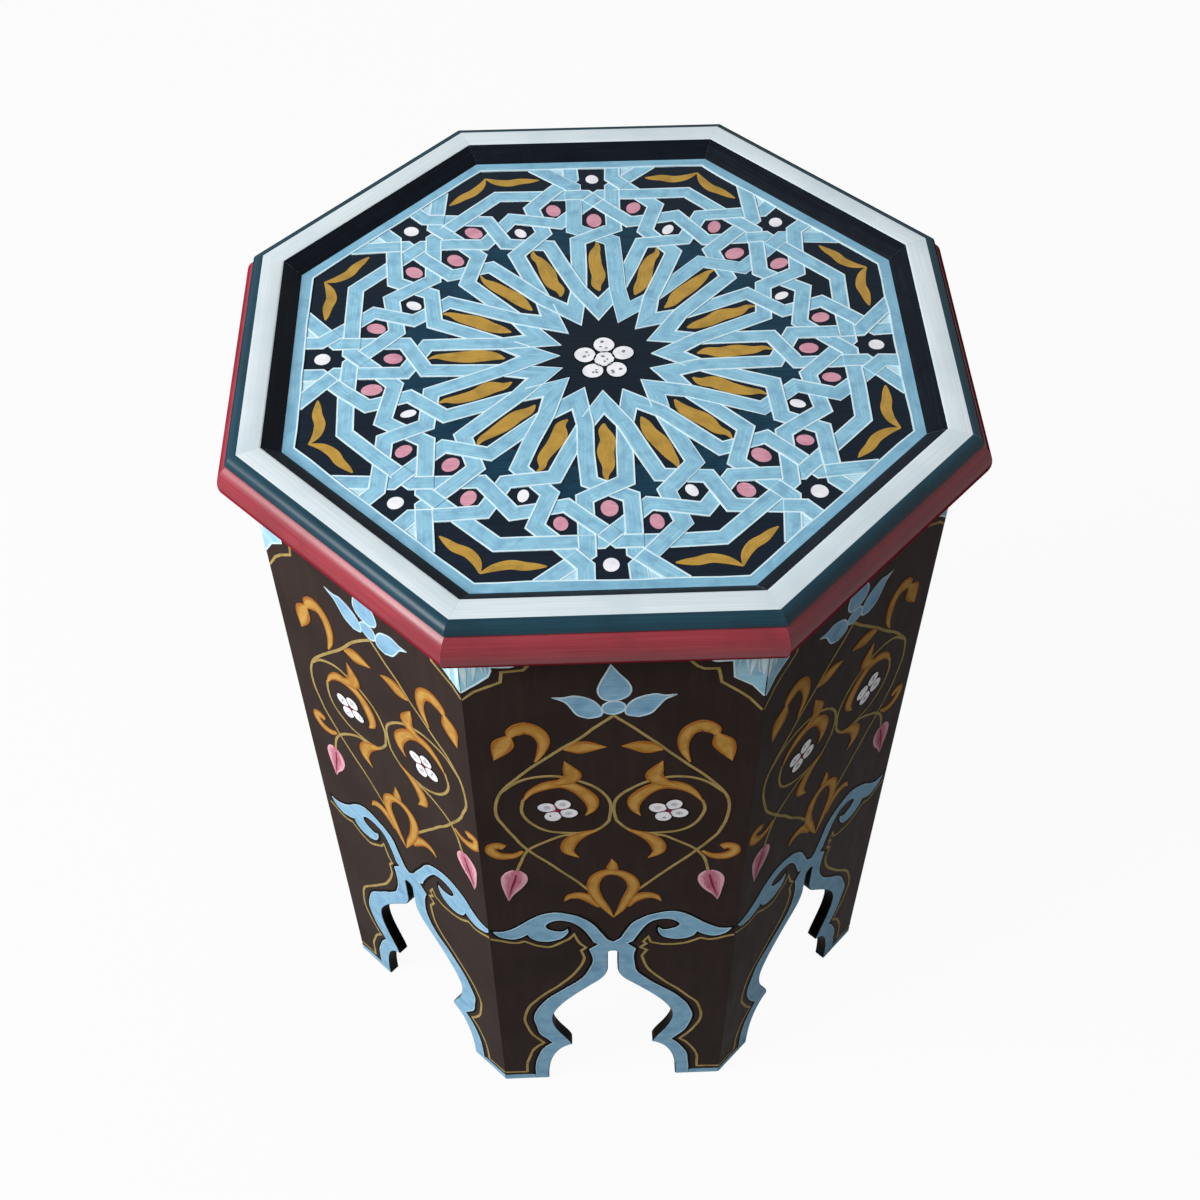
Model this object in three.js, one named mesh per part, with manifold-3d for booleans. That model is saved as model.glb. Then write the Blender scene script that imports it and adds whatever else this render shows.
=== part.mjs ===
// Eight-sided painted side table: eight arched side panels carry a sunk octagonal board inside a moulded rim.
// Millimetres, +Z up, origin on the floor under the centre of the table. The front panel faces -Y.
import * as THREE from "three";
import { mergeVertices } from "three/addons/utils/BufferGeometryUtils.js";
import Module from "manifold-3d";

const wasm = await Module();
wasm.setup();

// Driving dimensions
const sides = 8;
const height = 508; // floor to the flat of the rim
const bodyApothem = 173.6; // axis to the outer face of a side panel
const panelThick = 7;
const boardThick = 12;
const boardDrop = 8; // flat of the rim down to the face of the board
const jointGap = 0.3; // glue line between neighbouring pieces
const overrun = 5; // how far a cutting shape runs past what it cuts

// Rim moulding
const seatWidth = 3.6; // strip of each panel's top edge that the moulding stands on
const rimOverhang = 14.4; // red bead beyond the panel's face
const beadWidth = 9; // from the crown of the red bead in to its widest height
const beadDrop = 8; // how far the bead hangs in front of the panel, below its top edge
const ovoloDrop = 5;
const ovoloWidth = 6;
const flatWidth = 10.8;
const flatOverhang = 3.2; // outer edge of the flat beyond the panel's face
const lipWidth = 9.2; // slope from the flat down to the lip's nose
const noseThick = 0.5;

// Arch in each panel: foot, pointed cusp, round lobe, ogee shoulder and a narrow slot on top
const footHalf = 42.5;
const cuspHalf = 26;
const cuspHeight = 52;
const lobeHalf = 37.8;
const lobeHeight = 92;
const shoulderHalf = 10.5;
const shoulderHeight = 140.5;
const slotHalf = 2.9;
const slotFootHeight = 158;
const archTop = 181.8;
// How far each curve's handles reach between its two ends
const footRiseShare = 0.86;
const cuspLeanShare = 0.17;
const cuspRiseShare = 0.28;
const lobeRiseShare = 0.45;
const crownRiseShare = 0.3;
const crownLeanShare = 0.5;
const shoulderRiseShare = 0.34;
const neckLeanShare = 0.09;
const neckRiseShare = 0.46;

// Glue block in each inner corner, screwed up into the board
const blockLeg = 26; // length along each panel
const blockDepth = 12; // depth square to each panel
const blockHeight = 36;
const screwShankRadius = 2;
const screwHeadRadius = 4;
const screwHeadHeight = 2.6;
const screwRimThick = 0.5;
const screwTipLength = 4;
const screwBite = 8; // how far the screw reaches into the board
const slotWidth = 1.1;
const slotDepth = 1;

// Brads down through the rim into the panels, punched below the flat and filled over
const bradShankRadius = 0.8;
const bradHeadRadius = 1.25;
const bradHeadThick = 0.8;
const bradTipLength = 1.6;
const bradSink = 1.5;
const bradBite = 12; // how far the brad reaches into the panel
const bradPlaceShare = 0.62; // of the panel's half width

// Facets of round stretches
const curveSteps = 7;
const beadSteps = 7;
const screwFacets = 16;
const bradFacets = 10;

// Derived levels and widths
const turn = (2 * Math.PI) / sides;
const halfTurn = turn / 2;
const rimDepth = boardDrop + boardThick;
const rimBottom = height - rimDepth;
const bodyHeight = rimBottom - jointGap;
const boardTop = height - boardDrop;
const seatInner = bodyApothem - seatWidth;
const boardApothem = seatInner - jointGap;
const rimOuter = bodyApothem + rimOverhang;
const beadBottom = rimBottom - beadDrop;
const beadHalf = (rimDepth + beadDrop - ovoloDrop) / 2;
const flatOuter = bodyApothem + flatOverhang;
const flatInner = flatOuter - flatWidth;
const lipInner = flatInner - lipWidth;
const panelHalf = bodyApothem * Math.tan(halfTurn);
const innerApothem = bodyApothem - panelThick;

// A closed geometry as a solid that can be cut and joined. Facets that shrink to a line at an axis are dropped.
function solidOf(geometry) {
  const bare = geometry.clone();
  bare.deleteAttribute("normal");
  bare.deleteAttribute("uv");
  const merged = mergeVertices(bare, jointGap / 1000);
  const index = merged.index.array;
  const kept = [];
  for (let i = 0; i < index.length; i += 3) {
    const [a, b, c] = [index[i], index[i + 1], index[i + 2]];
    if (a !== b && b !== c && c !== a) kept.push(a, b, c);
  }
  const vertProperties = new Float32Array(merged.attributes.position.array);
  return new wasm.Manifold(new wasm.Mesh({ numProp: 3, vertProperties, triVerts: new Uint32Array(kept) }));
}

function geometryOf(solid) {
  const mesh = solid.getMesh();
  const flat = new THREE.BufferGeometry();
  flat.setAttribute("position", new THREE.BufferAttribute(new Float32Array(mesh.vertProperties), 3));
  flat.setIndex(new THREE.BufferAttribute(new Uint32Array(mesh.triVerts), 1));
  const facets = flat.toNonIndexed();
  facets.computeVertexNormals();
  return facets;
}

// A plan outline, points in X and Y, stood up between two heights.
function upright(points, low, high) {
  const shape = new THREE.Shape(points);
  const geometry = new THREE.ExtrudeGeometry(shape, { depth: high - low, bevelEnabled: false });
  return solidOf(geometry.translate(0, 0, low));
}

// A turned form on the Z axis: its profile, as radius and height, starts and ends on the axis.
function turned(profile, facets) {
  return solidOf(new THREE.LatheGeometry(profile, facets).rotateX(Math.PI / 2));
}

// The slice of the table that belongs to one side, with +Y pointing out, short of its neighbours by half a glue line.
function sideSlice(reach) {
  const apex = jointGap / 2 / Math.sin(halfTurn);
  const half = (reach - apex) * Math.tan(halfTurn);
  const points = [new THREE.Vector2(0, apex), new THREE.Vector2(half, reach), new THREE.Vector2(-half, reach)];
  return upright(points, -overrun, height + overrun);
}

// The right half of the arch, from its foot on the floor to the top of the slot.
function archHalf() {
  const lobeRise = lobeHeight - cuspHeight;
  const crownRise = shoulderHeight - lobeHeight;
  const neckRise = slotFootHeight - shoulderHeight;
  const path = new THREE.Path();
  path.moveTo(footHalf, 0);
  path.quadraticCurveTo(footHalf, cuspHeight * footRiseShare, cuspHalf, cuspHeight);
  path.bezierCurveTo(
    cuspHalf + (lobeHalf - cuspHalf) * cuspLeanShare,
    cuspHeight + lobeRise * cuspRiseShare,
    lobeHalf,
    lobeHeight - lobeRise * lobeRiseShare,
    lobeHalf,
    lobeHeight,
  );
  path.bezierCurveTo(
    lobeHalf,
    lobeHeight + crownRise * crownRiseShare,
    shoulderHalf + (lobeHalf - shoulderHalf) * crownLeanShare,
    shoulderHeight - crownRise * shoulderRiseShare,
    shoulderHalf,
    shoulderHeight,
  );
  path.quadraticCurveTo(
    slotHalf + (shoulderHalf - slotHalf) * neckLeanShare,
    shoulderHeight + neckRise * neckRiseShare,
    slotHalf,
    slotFootHeight,
  );
  path.lineTo(slotHalf, archTop - slotHalf);
  path.absarc(0, archTop - slotHalf, slotHalf, 0, Math.PI / 2);
  return path.getPoints(curveSteps);
}

// Where the two brads of each side go, in plan.
const bradPlaces = [-1, 1].map((way) => ({
  x: way * panelHalf * bradPlaceShare,
  y: bodyApothem - seatWidth / 2,
}));

// A brad with its point down, or with grow the hole that clears it.
function bradForm(grow) {
  const top = height - bradSink + grow;
  const neck = height - bradSink - bradHeadThick - grow;
  const tip = bodyHeight - bradBite - grow;
  const profile = [
    new THREE.Vector2(0, tip),
    new THREE.Vector2(bradShankRadius + grow, tip + bradTipLength),
    new THREE.Vector2(bradShankRadius + grow, neck),
    new THREE.Vector2(bradHeadRadius + grow, neck),
    new THREE.Vector2(bradHeadRadius + grow, top),
    new THREE.Vector2(0, top),
  ];
  return turned(profile, bradFacets);
}

// A countersunk screw, point up, on the block's axis, or with grow the hole that clears it and opens below.
function screwForm(grow) {
  const head = bodyHeight - blockHeight;
  const tip = rimBottom + screwBite + grow;
  const mouth = grow > 0 ? head - overrun : head;
  const profile = [
    new THREE.Vector2(0, mouth),
    new THREE.Vector2(screwHeadRadius + grow, mouth),
    new THREE.Vector2(screwHeadRadius + grow, head + screwRimThick + grow),
    new THREE.Vector2(screwShankRadius + grow, head + screwHeadHeight + grow),
    new THREE.Vector2(screwShankRadius + grow, tip - screwTipLength),
    new THREE.Vector2(0, tip),
  ];
  return turned(profile, screwFacets);
}

// Middle of the glue block in plan, on its corner's axis.
const blockTipY = (innerApothem - jointGap) / Math.cos(halfTurn);
const blockBackY = blockTipY - blockLeg * Math.sin(halfTurn) - blockDepth * Math.cos(halfTurn);
const screwY = (blockTipY + blockBackY) / 2;

function sidePanel() {
  const right = archHalf();
  const left = right.slice(0, -1).reverse();
  const outline = new THREE.Shape([
    new THREE.Vector2(-panelHalf, 0),
    new THREE.Vector2(-panelHalf, bodyHeight),
    new THREE.Vector2(panelHalf, bodyHeight),
    new THREE.Vector2(panelHalf, 0),
    ...right,
    ...left.map((point) => new THREE.Vector2(-point.x, point.y)),
  ]);
  const plank = new THREE.ExtrudeGeometry(outline, { depth: panelThick, bevelEnabled: false });
  plank.rotateX(Math.PI / 2).translate(0, bodyApothem, 0);
  let panel = solidOf(plank).intersect(sideSlice(bodyApothem + overrun));
  for (const place of bradPlaces) panel = panel.subtract(bradForm(jointGap).translate([place.x, place.y, 0]));
  return geometryOf(panel);
}

function rimMoulding() {
  const beadCentre = rimOuter - beadWidth;
  const rebate = bodyApothem + jointGap;
  const ovoloFoot = height - ovoloDrop;
  const profile = new THREE.Shape();
  profile.moveTo(seatInner, rimBottom);
  profile.lineTo(rebate, rimBottom);
  profile.lineTo(rebate, beadBottom);
  profile.lineTo(beadCentre, beadBottom);
  profile.absellipse(beadCentre, beadBottom + beadHalf, beadWidth, beadHalf, -Math.PI / 2, Math.PI / 2);
  profile.lineTo(flatOuter + ovoloWidth, ovoloFoot);
  profile.absellipse(flatOuter, ovoloFoot, ovoloWidth, ovoloDrop, 0, Math.PI / 2);
  profile.lineTo(flatInner, height);
  profile.lineTo(lipInner, boardTop + jointGap + noseThick);
  profile.lineTo(lipInner, boardTop + jointGap);
  profile.lineTo(seatInner, boardTop + jointGap);
  profile.closePath();
  const reach = rimOuter + overrun;
  const length = 2 * reach * Math.tan(halfTurn);
  const bar = new THREE.ExtrudeGeometry(profile, { depth: length, bevelEnabled: false, curveSegments: beadSteps });
  const along = new THREE.Matrix4().makeBasis(
    new THREE.Vector3(0, 1, 0),
    new THREE.Vector3(0, 0, 1),
    new THREE.Vector3(1, 0, 0),
  );
  bar.applyMatrix4(along).translate(-length / 2, 0, 0);
  let moulding = solidOf(bar).intersect(sideSlice(reach));
  for (const place of bradPlaces) moulding = moulding.subtract(bradForm(jointGap).translate([place.x, place.y, 0]));
  return geometryOf(moulding);
}

function topBoard() {
  const corner = boardApothem / Math.cos(halfTurn);
  const points = [];
  for (let side = 0; side < sides; side += 1) {
    const angle = halfTurn + side * turn;
    points.push(new THREE.Vector2(corner * Math.cos(angle), corner * Math.sin(angle)));
  }
  let board = upright(points, rimBottom, boardTop);
  for (let side = 0; side < sides; side += 1) {
    const angle = halfTurn + side * turn;
    const hole = screwForm(jointGap).translate([screwY * Math.cos(angle), screwY * Math.sin(angle), 0]);
    board = board.subtract(hole);
  }
  return geometryOf(board);
}

// A block for the corner that points along +Y, fitted against both panels.
function cornerBlock() {
  const legX = blockLeg * Math.cos(halfTurn);
  const legY = blockTipY - blockLeg * Math.sin(halfTurn);
  const backX = legX - blockDepth * Math.sin(halfTurn);
  const outline = [
    new THREE.Vector2(0, blockTipY),
    new THREE.Vector2(-legX, legY),
    new THREE.Vector2(-backX, blockBackY),
    new THREE.Vector2(backX, blockBackY),
    new THREE.Vector2(legX, legY),
  ];
  const block = upright(outline, bodyHeight - blockHeight, bodyHeight);
  return geometryOf(block.subtract(screwForm(jointGap).translate([0, screwY, 0])));
}

function topScrew() {
  const head = bodyHeight - blockHeight;
  const slot = new THREE.BoxGeometry(2 * (screwHeadRadius + overrun), slotWidth, 2 * slotDepth);
  return geometryOf(screwForm(0).subtract(solidOf(slot.translate(0, 0, head))));
}

function finish(color, roughness, metalness) {
  return new THREE.MeshStandardMaterial({ color, roughness, metalness });
}
const bodyPaint = finish("#2b2422", 0.45, 0);
const rimPaint = finish("#cfe2e8", 0.4, 0);
const boardPaint = finish("#8fc4da", 0.4, 0);
const bareWood = finish("#b58a5a", 0.8, 0);
const brightSteel = finish("#9c9a94", 0.35, 0.9);

const table = new THREE.Group();
function add(parent, name, geometry, material) {
  const mesh = new THREE.Mesh(geometry, material);
  mesh.name = name;
  parent.add(mesh);
  return mesh;
}

add(table, "top_board", topBoard(), boardPaint);

const panelGeometry = sidePanel();
const mouldingGeometry = rimMoulding();
const bradGeometry = geometryOf(bradForm(0));
for (let side = 0; side < sides; side += 1) {
  const place = new THREE.Group();
  place.rotation.z = Math.PI + side * turn;
  table.add(place);
  add(place, `side_panel_${side + 1}`, panelGeometry, bodyPaint);
  add(place, `rim_moulding_${side + 1}`, mouldingGeometry, rimPaint);
  bradPlaces.forEach((spot, number) => {
    const brad = add(place, `rim_brad_${2 * side + number + 1}`, bradGeometry, brightSteel);
    brad.position.set(spot.x, spot.y, 0);
  });
}

const blockGeometry = cornerBlock();
const screwGeometry = topScrew();
for (let side = 0; side < sides; side += 1) {
  const place = new THREE.Group();
  place.rotation.z = Math.PI + halfTurn + side * turn;
  table.add(place);
  add(place, `corner_block_${side + 1}`, blockGeometry, bareWood);
  const screw = add(place, `board_screw_${side + 1}`, screwGeometry, brightSteel);
  screw.position.set(0, screwY, 0);
}

export default table;
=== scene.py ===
# %% [markdown]
# # A painted Moroccan table
# The table is a wooden box of eight planks under a sunk board and a moulded rim. Its maker turned and planed very
# little of it: nearly all of the look is paint, laid on with small brushes. So this lesson spends its time on
# painted shapes, each one a thin raised layer with its own edge, as enamel has on wood.

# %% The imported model
import itertools
import math
import random

import bmesh
import bpy
from mathutils import Matrix, Vector, noise
from mathutils.geometry import interpolate_bezier, intersect_line_line_2d


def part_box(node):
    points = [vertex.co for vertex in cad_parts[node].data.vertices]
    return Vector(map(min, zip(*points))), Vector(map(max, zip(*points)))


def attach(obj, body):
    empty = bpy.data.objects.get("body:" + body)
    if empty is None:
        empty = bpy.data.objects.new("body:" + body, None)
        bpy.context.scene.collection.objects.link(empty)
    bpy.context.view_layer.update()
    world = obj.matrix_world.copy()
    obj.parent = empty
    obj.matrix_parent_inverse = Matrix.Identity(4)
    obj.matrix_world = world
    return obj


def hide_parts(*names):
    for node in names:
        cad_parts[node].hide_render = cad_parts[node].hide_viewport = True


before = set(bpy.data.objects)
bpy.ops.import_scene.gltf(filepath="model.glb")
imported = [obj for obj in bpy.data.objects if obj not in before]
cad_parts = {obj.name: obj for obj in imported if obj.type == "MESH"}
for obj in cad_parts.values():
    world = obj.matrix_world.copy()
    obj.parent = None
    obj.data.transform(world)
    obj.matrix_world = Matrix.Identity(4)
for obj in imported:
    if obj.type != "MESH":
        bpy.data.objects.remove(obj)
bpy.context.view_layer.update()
MM = 0.001
SIDES = 8
TURN = math.tau / SIDES

# %% [markdown]
# ## Sizes from the frame
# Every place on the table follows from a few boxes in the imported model: how far a side panel stands from the
# axis, how thick it is, and how high the board and the rim lie. Reading them keeps the paint on the wood when the
# wood changes.

# %% Sizes of the panels, the board and the rim
panel_low, panel_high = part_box("side_panel_1")
rim_low, rim_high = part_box("rim_moulding_1")
FACE = -panel_low.y / MM
PLANK = (panel_high.y - panel_low.y) / MM
PANEL_TOP = panel_high.z / MM
BOARD_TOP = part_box("top_board")[1].z / MM
RIM_TOP, RIM_BOTTOM = rim_high.z / MM, rim_low.z / MM
RIM_OUTER, RIM_INNER = -rim_low.y / MM, -rim_high.y / MM
PANEL_HALF = FACE * math.tan(TURN / 2)
print("panel half width", round(PANEL_HALF, 2), "board top", round(BOARD_TOP, 2))

# %% [markdown]
# ## The camera
# The photograph looks down at the table from standing height. The place and lens come from fitting the corners
# of the octagons and the feet. Blender's camera looks along its own -Z, so it is tipped up from looking down,
# then turned about the upright.

# %% Camera at the photograph's view
CAMERA_PLACE = Vector((-20.6, -633.9, 1088.0)) * MM
CAMERA_DOWN = math.radians(51.24)
CAMERA_TURN = math.radians(1.77)
CAMERA_ROLL = math.radians(-0.34)
CAMERA_LENS = 50.32


def linked(name, data):
    """A new object in the scene."""
    made = bpy.data.objects.new(name, data)
    bpy.context.scene.collection.objects.link(made)
    return made


def photo_camera():
    data = bpy.data.cameras.new("photo_camera")
    data.lens = CAMERA_LENS
    data.sensor_width = 36
    camera = linked("photo_camera", data)
    turned = Matrix.Rotation(-CAMERA_TURN, 4, "Z") @ Matrix.Rotation(math.pi / 2 - CAMERA_DOWN, 4, "X")
    turned @= Matrix.Rotation(CAMERA_ROLL, 4, "Z")
    camera.matrix_world = Matrix.Translation(CAMERA_PLACE) @ turned
    bpy.context.scene.camera = camera


photo_camera()

# %% [markdown]
# ## Paint and its brush marks
# Household enamel brushed on by hand is a dielectric with a soft gloss: index of refraction about 1.5, and a
# roughness near 0.4 because the bristles leave fine ridges. Each stroke is a little lighter where the coat is
# thin. The marks run along the stroke, so every painted shape carries a vertex attribute named brush, which holds
# the distance along and across the stroke in metres. A noise stretched along that direction gives the bristles.

# %% Colour and node helpers
# The Mix node keeps one set of sockets for each data type; these are the places of its colour sockets.
MIX_A, MIX_B, MIX_OUT = 6, 7, 2


def linear(hex_colour):
    """An sRGB hex colour as Blender's linear RGBA."""
    parts = [int(hex_colour[i : i + 2], 16) / 255 for i in (1, 3, 5)]
    return [p / 12.92 if p <= 0.04045 else ((p + 0.055) / 1.055) ** 2.4 for p in parts] + [1.0]


def fill(node, inputs):
    """Sets a node's inputs to values, or links them to other nodes' outputs."""
    for name, value in inputs.items():
        if isinstance(value, bpy.types.NodeSocket):
            node.id_data.links.new(value, node.inputs[name])
        else:
            node.inputs[name].default_value = value


def add_node(tree, kind, inputs, **settings):
    """Adds a node, sets its properties and fills its inputs."""
    made = tree.nodes.new(kind)
    for name, value in settings.items():
        setattr(made, name, value)
    fill(made, inputs)
    return made


def mixed(tree, share, *colours):
    """A colour between two, each a hex colour or a socket."""
    first, second = (linear(colour) if isinstance(colour, str) else colour for colour in colours)
    inputs = {0: share, MIX_A: first, MIX_B: second}
    return add_node(tree, "ShaderNodeMix", inputs, data_type="RGBA").outputs[MIX_OUT]


def ranged(tree, value, low=0, high=1, to_low=0, to_high=1):
    """A value carried from one range to another, and held inside it."""
    inputs = {"Value": value, "From Min": low, "From Max": high, "To Min": to_low, "To Max": to_high}
    return add_node(tree, "ShaderNodeMapRange", inputs).outputs[0]


def maths(tree, operation, *values):
    return add_node(tree, "ShaderNodeMath", dict(enumerate(values)), operation=operation).outputs[0]


def stretched_noise(tree, place, spans, detail):
    """A noise with marks as long as the spans, one for each axis, in millimetres."""
    scale = [1 / (span * MM) for span in spans]
    pulled = add_node(tree, "ShaderNodeMapping", {"Vector": place, "Scale": scale}).outputs[0]
    return add_node(tree, "ShaderNodeTexNoise", {"Vector": pulled, "Scale": 1, "Detail": detail}).outputs[0]


def even_noise(tree, place, span):
    """A noise alike in every direction."""
    inputs = {"Vector": place, "Scale": 1 / (span * MM), "Detail": 3}
    return add_node(tree, "ShaderNodeTexNoise", inputs).outputs[0]


def bumped(tree, height, strength, depth):
    """A normal bent by a height; the depth is in millimetres."""
    inputs = {"Height": height, "Strength": strength, "Distance": depth * MM}
    return add_node(tree, "ShaderNodeBump", inputs).outputs[0]


def new_material(name):
    """A material, its node tree and its shader."""
    material = bpy.data.materials.new(name)
    material.use_nodes = True
    return material, material.node_tree, material.node_tree.nodes["Principled BSDF"]


# %% Brushed enamel
def enamel(
    name, tone, thin, deep, edge=None, bristle=0.9, drag=22.0, cloud=9.0, rough=0.42, ridge=0.03, shine=0.4, gloss_shaded_at_grazing=False
):
    """Brushed paint. tone, thin, deep and edge are hex colours; bristle, drag, cloud and ridge are millimetres."""
    material, tree, shader = new_material(name)
    place = add_node(tree, "ShaderNodeAttribute", {}, attribute_name="brush").outputs["Vector"]
    marks = stretched_noise(tree, place, (drag, bristle, drag), 4)
    thin_coat = ranged(tree, marks, 0.42, 0.72, to_high=0.75)
    deep_coat = ranged(tree, even_noise(tree, place, cloud), 0.45, 0.75, to_high=0.8)
    colour = mixed(tree, deep_coat, mixed(tree, thin_coat, tone, thin), deep)
    if edge:
        across = add_node(tree, "ShaderNodeSeparateXYZ", {"Vector": place}).outputs["Z"]
        away = maths(tree, "ABSOLUTE", ranged(tree, across, 0, MM, -1))
        border = ranged(tree, maths(tree, "ADD", away, marks), 0.95, 1.3)
        colour = mixed(tree, border, colour, edge)
    gloss = ranged(tree, marks, to_low=rough - 0.12, to_high=rough + 0.14)
    ridges = bumped(tree, marks, 0.6, ridge)
    fill(shader, {"Base Color": colour, "Roughness": gloss, "Normal": ridges, "IOR": 1.5, "Specular IOR Level": shine})
    # The shine fades to none where the view grazes the paint: painted shade in the gloss, as if the floor beside the
    # table lay in shadow
    if gloss_shaded_at_grazing:
        slant = add_node(tree, "ShaderNodeLayerWeight", {"Blend": 0.5}).outputs["Facing"]
        fill(shader, {"Specular IOR Level": ranged(tree, slant, 0.3, 0.7, shine, 0)})
    return material


def side_enamel(*tones, **habits):
    """The thinner, duller paint of the sides."""
    return enamel(*tones, shine=0.005, **habits)


# %% The colours on the palette
blue_enamel = enamel("light_blue_enamel", "#82b9d2", "#a8d6e7", "#6898b6", cloud=7)
border_enamel = enamel("border_blue_enamel", "#79afca", "#98c5db", "#6699b6")
pale_enamel = enamel("pale_line_enamel", "#d3ebf3", "#e6f6fa", "#b4d6e3")
wedge_enamel = enamel("pale_wedge_enamel", "#b0d6e6", "#c8e6f0", "#98c4d8")
teal_enamel = enamel("deep_teal_enamel", "#0c2f42", "#1b4558", "#082433", shine=0.1)
gold_enamel = enamel("gold_ochre_enamel", "#ae8836", "#c49e4e", "#8a6d2a", bristle=0.7, drag=12, shine=0.25)
pink_enamel = enamel("rose_enamel", "#ca8b9c", "#dfaebb", "#b4708a", bristle=0.7, drag=9)
white_enamel = enamel("white_enamel", "#ededf3", "#fafafc", "#d0d2dc", bristle=0.7, drag=9)
grey_enamel = enamel("grey_dot_enamel", "#6f7c88", "#8f9ba6", "#55616d", bristle=0.5, drag=6)
scroll_enamel = side_enamel("scroll_blue_enamel", "#84b2d0", "#a5cbe0", "#6a9abc", drag=30)
scroll_edge_enamel = side_enamel("scroll_edge_enamel", "#a9cadd", "#c3dde9", "#90b6cc")
bud_edge_enamel = side_enamel("bud_edge_enamel", "#c2dbe8", "#d8eaf2", "#a3c4d6")
amber_enamel = side_enamel("amber_enamel", "#bb8e46", "#d2ab62", "#a0722d", "#a0642a", bristle=0.8, drag=12)
corner_enamel = side_enamel("corner_blue_enamel", "#9bcfe6", "#c4e3f0", "#7fb5d0", drag=12)
vine_enamel = side_enamel("vine_enamel", "#a38c56", "#bba670", "#82703f", bristle=0.6, drag=14)
heart_enamel = side_enamel("deep_rose_enamel", "#bd7286", "#d0909f", "#a25469", "#e0abb8", bristle=0.8, drag=9)
vein_enamel = side_enamel("vein_red_enamel", "#86283c", "#9c4054", "#6c2033", bristle=0.6, drag=9)
shade_enamel = side_enamel("shade_line_enamel", "#0d0b0a", "#161311", "#090807")
ground_enamel = side_enamel("dark_ground_enamel", "#332926", "#3b302c", "#2a211e", bristle=6, drag=40, cloud=60)
rim_white_enamel = enamel("rim_white_enamel", "#d0dce1", "#e2ebee", "#bfcfd6", drag=60, cloud=40, ridge=0.05)
# The rim's teal and red lose their shine at grazing angles: painted shade in their gloss
rim_teal_enamel = enamel(
    "rim_teal_enamel", "#0f3342", "#1a4655", "#0a2834", drag=60, cloud=30, rough=0.34, shine=0.2, gloss_shaded_at_grazing=True
)
RED_BRUSH = {"bristle": 1.1, "drag": 60, "cloud": 30}
rim_red_enamel = enamel(
    "rim_red_enamel", "#86222f", "#9a3742", "#711a26", rough=0.34, ridge=0.07, gloss_shaded_at_grazing=True, **RED_BRUSH
)
# The red bead's lower part: painted shade under the bead, a red a little darker than the bead's and with no shine
rim_red_shaded_under_enamel = enamel("rim_red_painted_shade_enamel", "#84212c", "#95313d", "#6c1923", ridge=0.05, shine=0, **RED_BRUSH)
rim_dark_enamel = enamel("rim_dark_enamel", "#0c1119", "#19202a", "#080c13", bristle=1.1, drag=60, shine=0.05)

# %% [markdown]
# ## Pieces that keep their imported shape
# The board, the glue blocks, the screws and the brads are right as they stand and only get their finish. The
# inside was never painted: softwood shows long grain, tinted between early and late wood, and the screws are
# plain zinc-bright steel. The board shows between the straps, so it carries the dark ground. All three lie in
# Object coordinates.


# %% Wood, steel and the board's ground
def object_place(tree):
    return add_node(tree, "ShaderNodeTexCoord", {}).outputs["Object"]


def bare_wood(name, early, late):
    """Sawn softwood with its grain along Z."""
    material, tree, shader = new_material(name)
    grain = stretched_noise(tree, object_place(tree), (2.4, 2.4, 90), 5)
    colour = mixed(tree, ranged(tree, grain, 0.4, 0.65), early, late)
    fill(shader, {"Base Color": colour, "Normal": bumped(tree, grain, 0.7, 0.2), "Roughness": 0.78})
    return material


def bright_steel(name):
    """Zinc-bright steel with a fine handled haze."""
    material, tree, shader = new_material(name)
    gloss = ranged(tree, even_noise(tree, object_place(tree), 1.5), to_low=0.22, to_high=0.5)
    fill(shader, {"Base Color": linear("#a8a59d"), "Metallic": 1, "Roughness": gloss})
    return material


def board_ground(name):
    """The dark coat under the strapwork: nearly black with a blue cast, brushed across the board."""
    material, tree, shader = new_material(name)
    marks = stretched_noise(tree, object_place(tree), (45, 1.4, 1.4), 4)
    fill(shader, {"Base Color": mixed(tree, marks, "#0a1620", "#1e2733"), "Normal": bumped(tree, marks, 0.6, 0.05)})
    fill(shader, {"Roughness": 0.42, "Specular IOR Level": 0.05})
    return material


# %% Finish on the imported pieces
plank_wood = bare_wood("sawn_pine_plank", "#b58f62", "#8f6a42")
block_wood = bare_wood("sawn_pine_block", "#c09a6a", "#96703f")
screw_steel = bright_steel("zinc_bright_steel")
board_finish = board_ground("board_ground_enamel")
FINISHES = {
    "top_board": board_finish,
    "corner_block": block_wood,
    "board_screw": screw_steel,
    "rim_brad": screw_steel,
}
for name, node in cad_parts.items():
    for start, coat in FINISHES.items():
        if name.startswith(start):
            node.data.materials.clear()
            node.data.materials.append(coat)
print(len(bpy.data.materials), "materials")

# %% [markdown]
# ## Round lines from a few points
# A painter's line is steered by a few places that the hand passes through. Each stretch between two of them is
# a Bezier whose handles follow the neighbours. The third number of a point is half the brush's width there, and
# it is carried along in the same way, so a leaf can swell and end in a tip.

# %% Lines
CURVE_STEPS = 5
SWAY_PACE, SWAY_APART = 0.06, 7.3
# Without a seed the noise starts from the clock, and no two runs are alike
noise.seed_set(1)


def smooth(points):
    """A round line through given points of any dimension."""
    knots = [Vector(p) for p in points]
    line = []
    for i, (start, end) in enumerate(zip(knots, knots[1:])):
        before, after = knots[max(0, i - 1)], knots[min(len(knots) - 1, i + 2)]
        bits = interpolate_bezier(start, start + (end - before) / 6, end - (after - start) / 6, end, CURVE_STEPS + 1)
        line += bits[:-1]
    return line + knots[-1:]


def joined(stretches):
    """Round stretches that meet in sharp corners, as one line."""
    line = []
    for stretch in stretches:
        line += smooth(stretch)[:-1]
    return line + [Vector(stretches[-1][-1])]


def mirrored(points, way):
    """The points as they are if way is 1, and on the other half of the panel if it is -1."""
    return [(way * p[0], *p[1:]) for p in points]


def polar(radius, angle):
    return Vector((radius * math.cos(angle), radius * math.sin(angle)))


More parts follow.
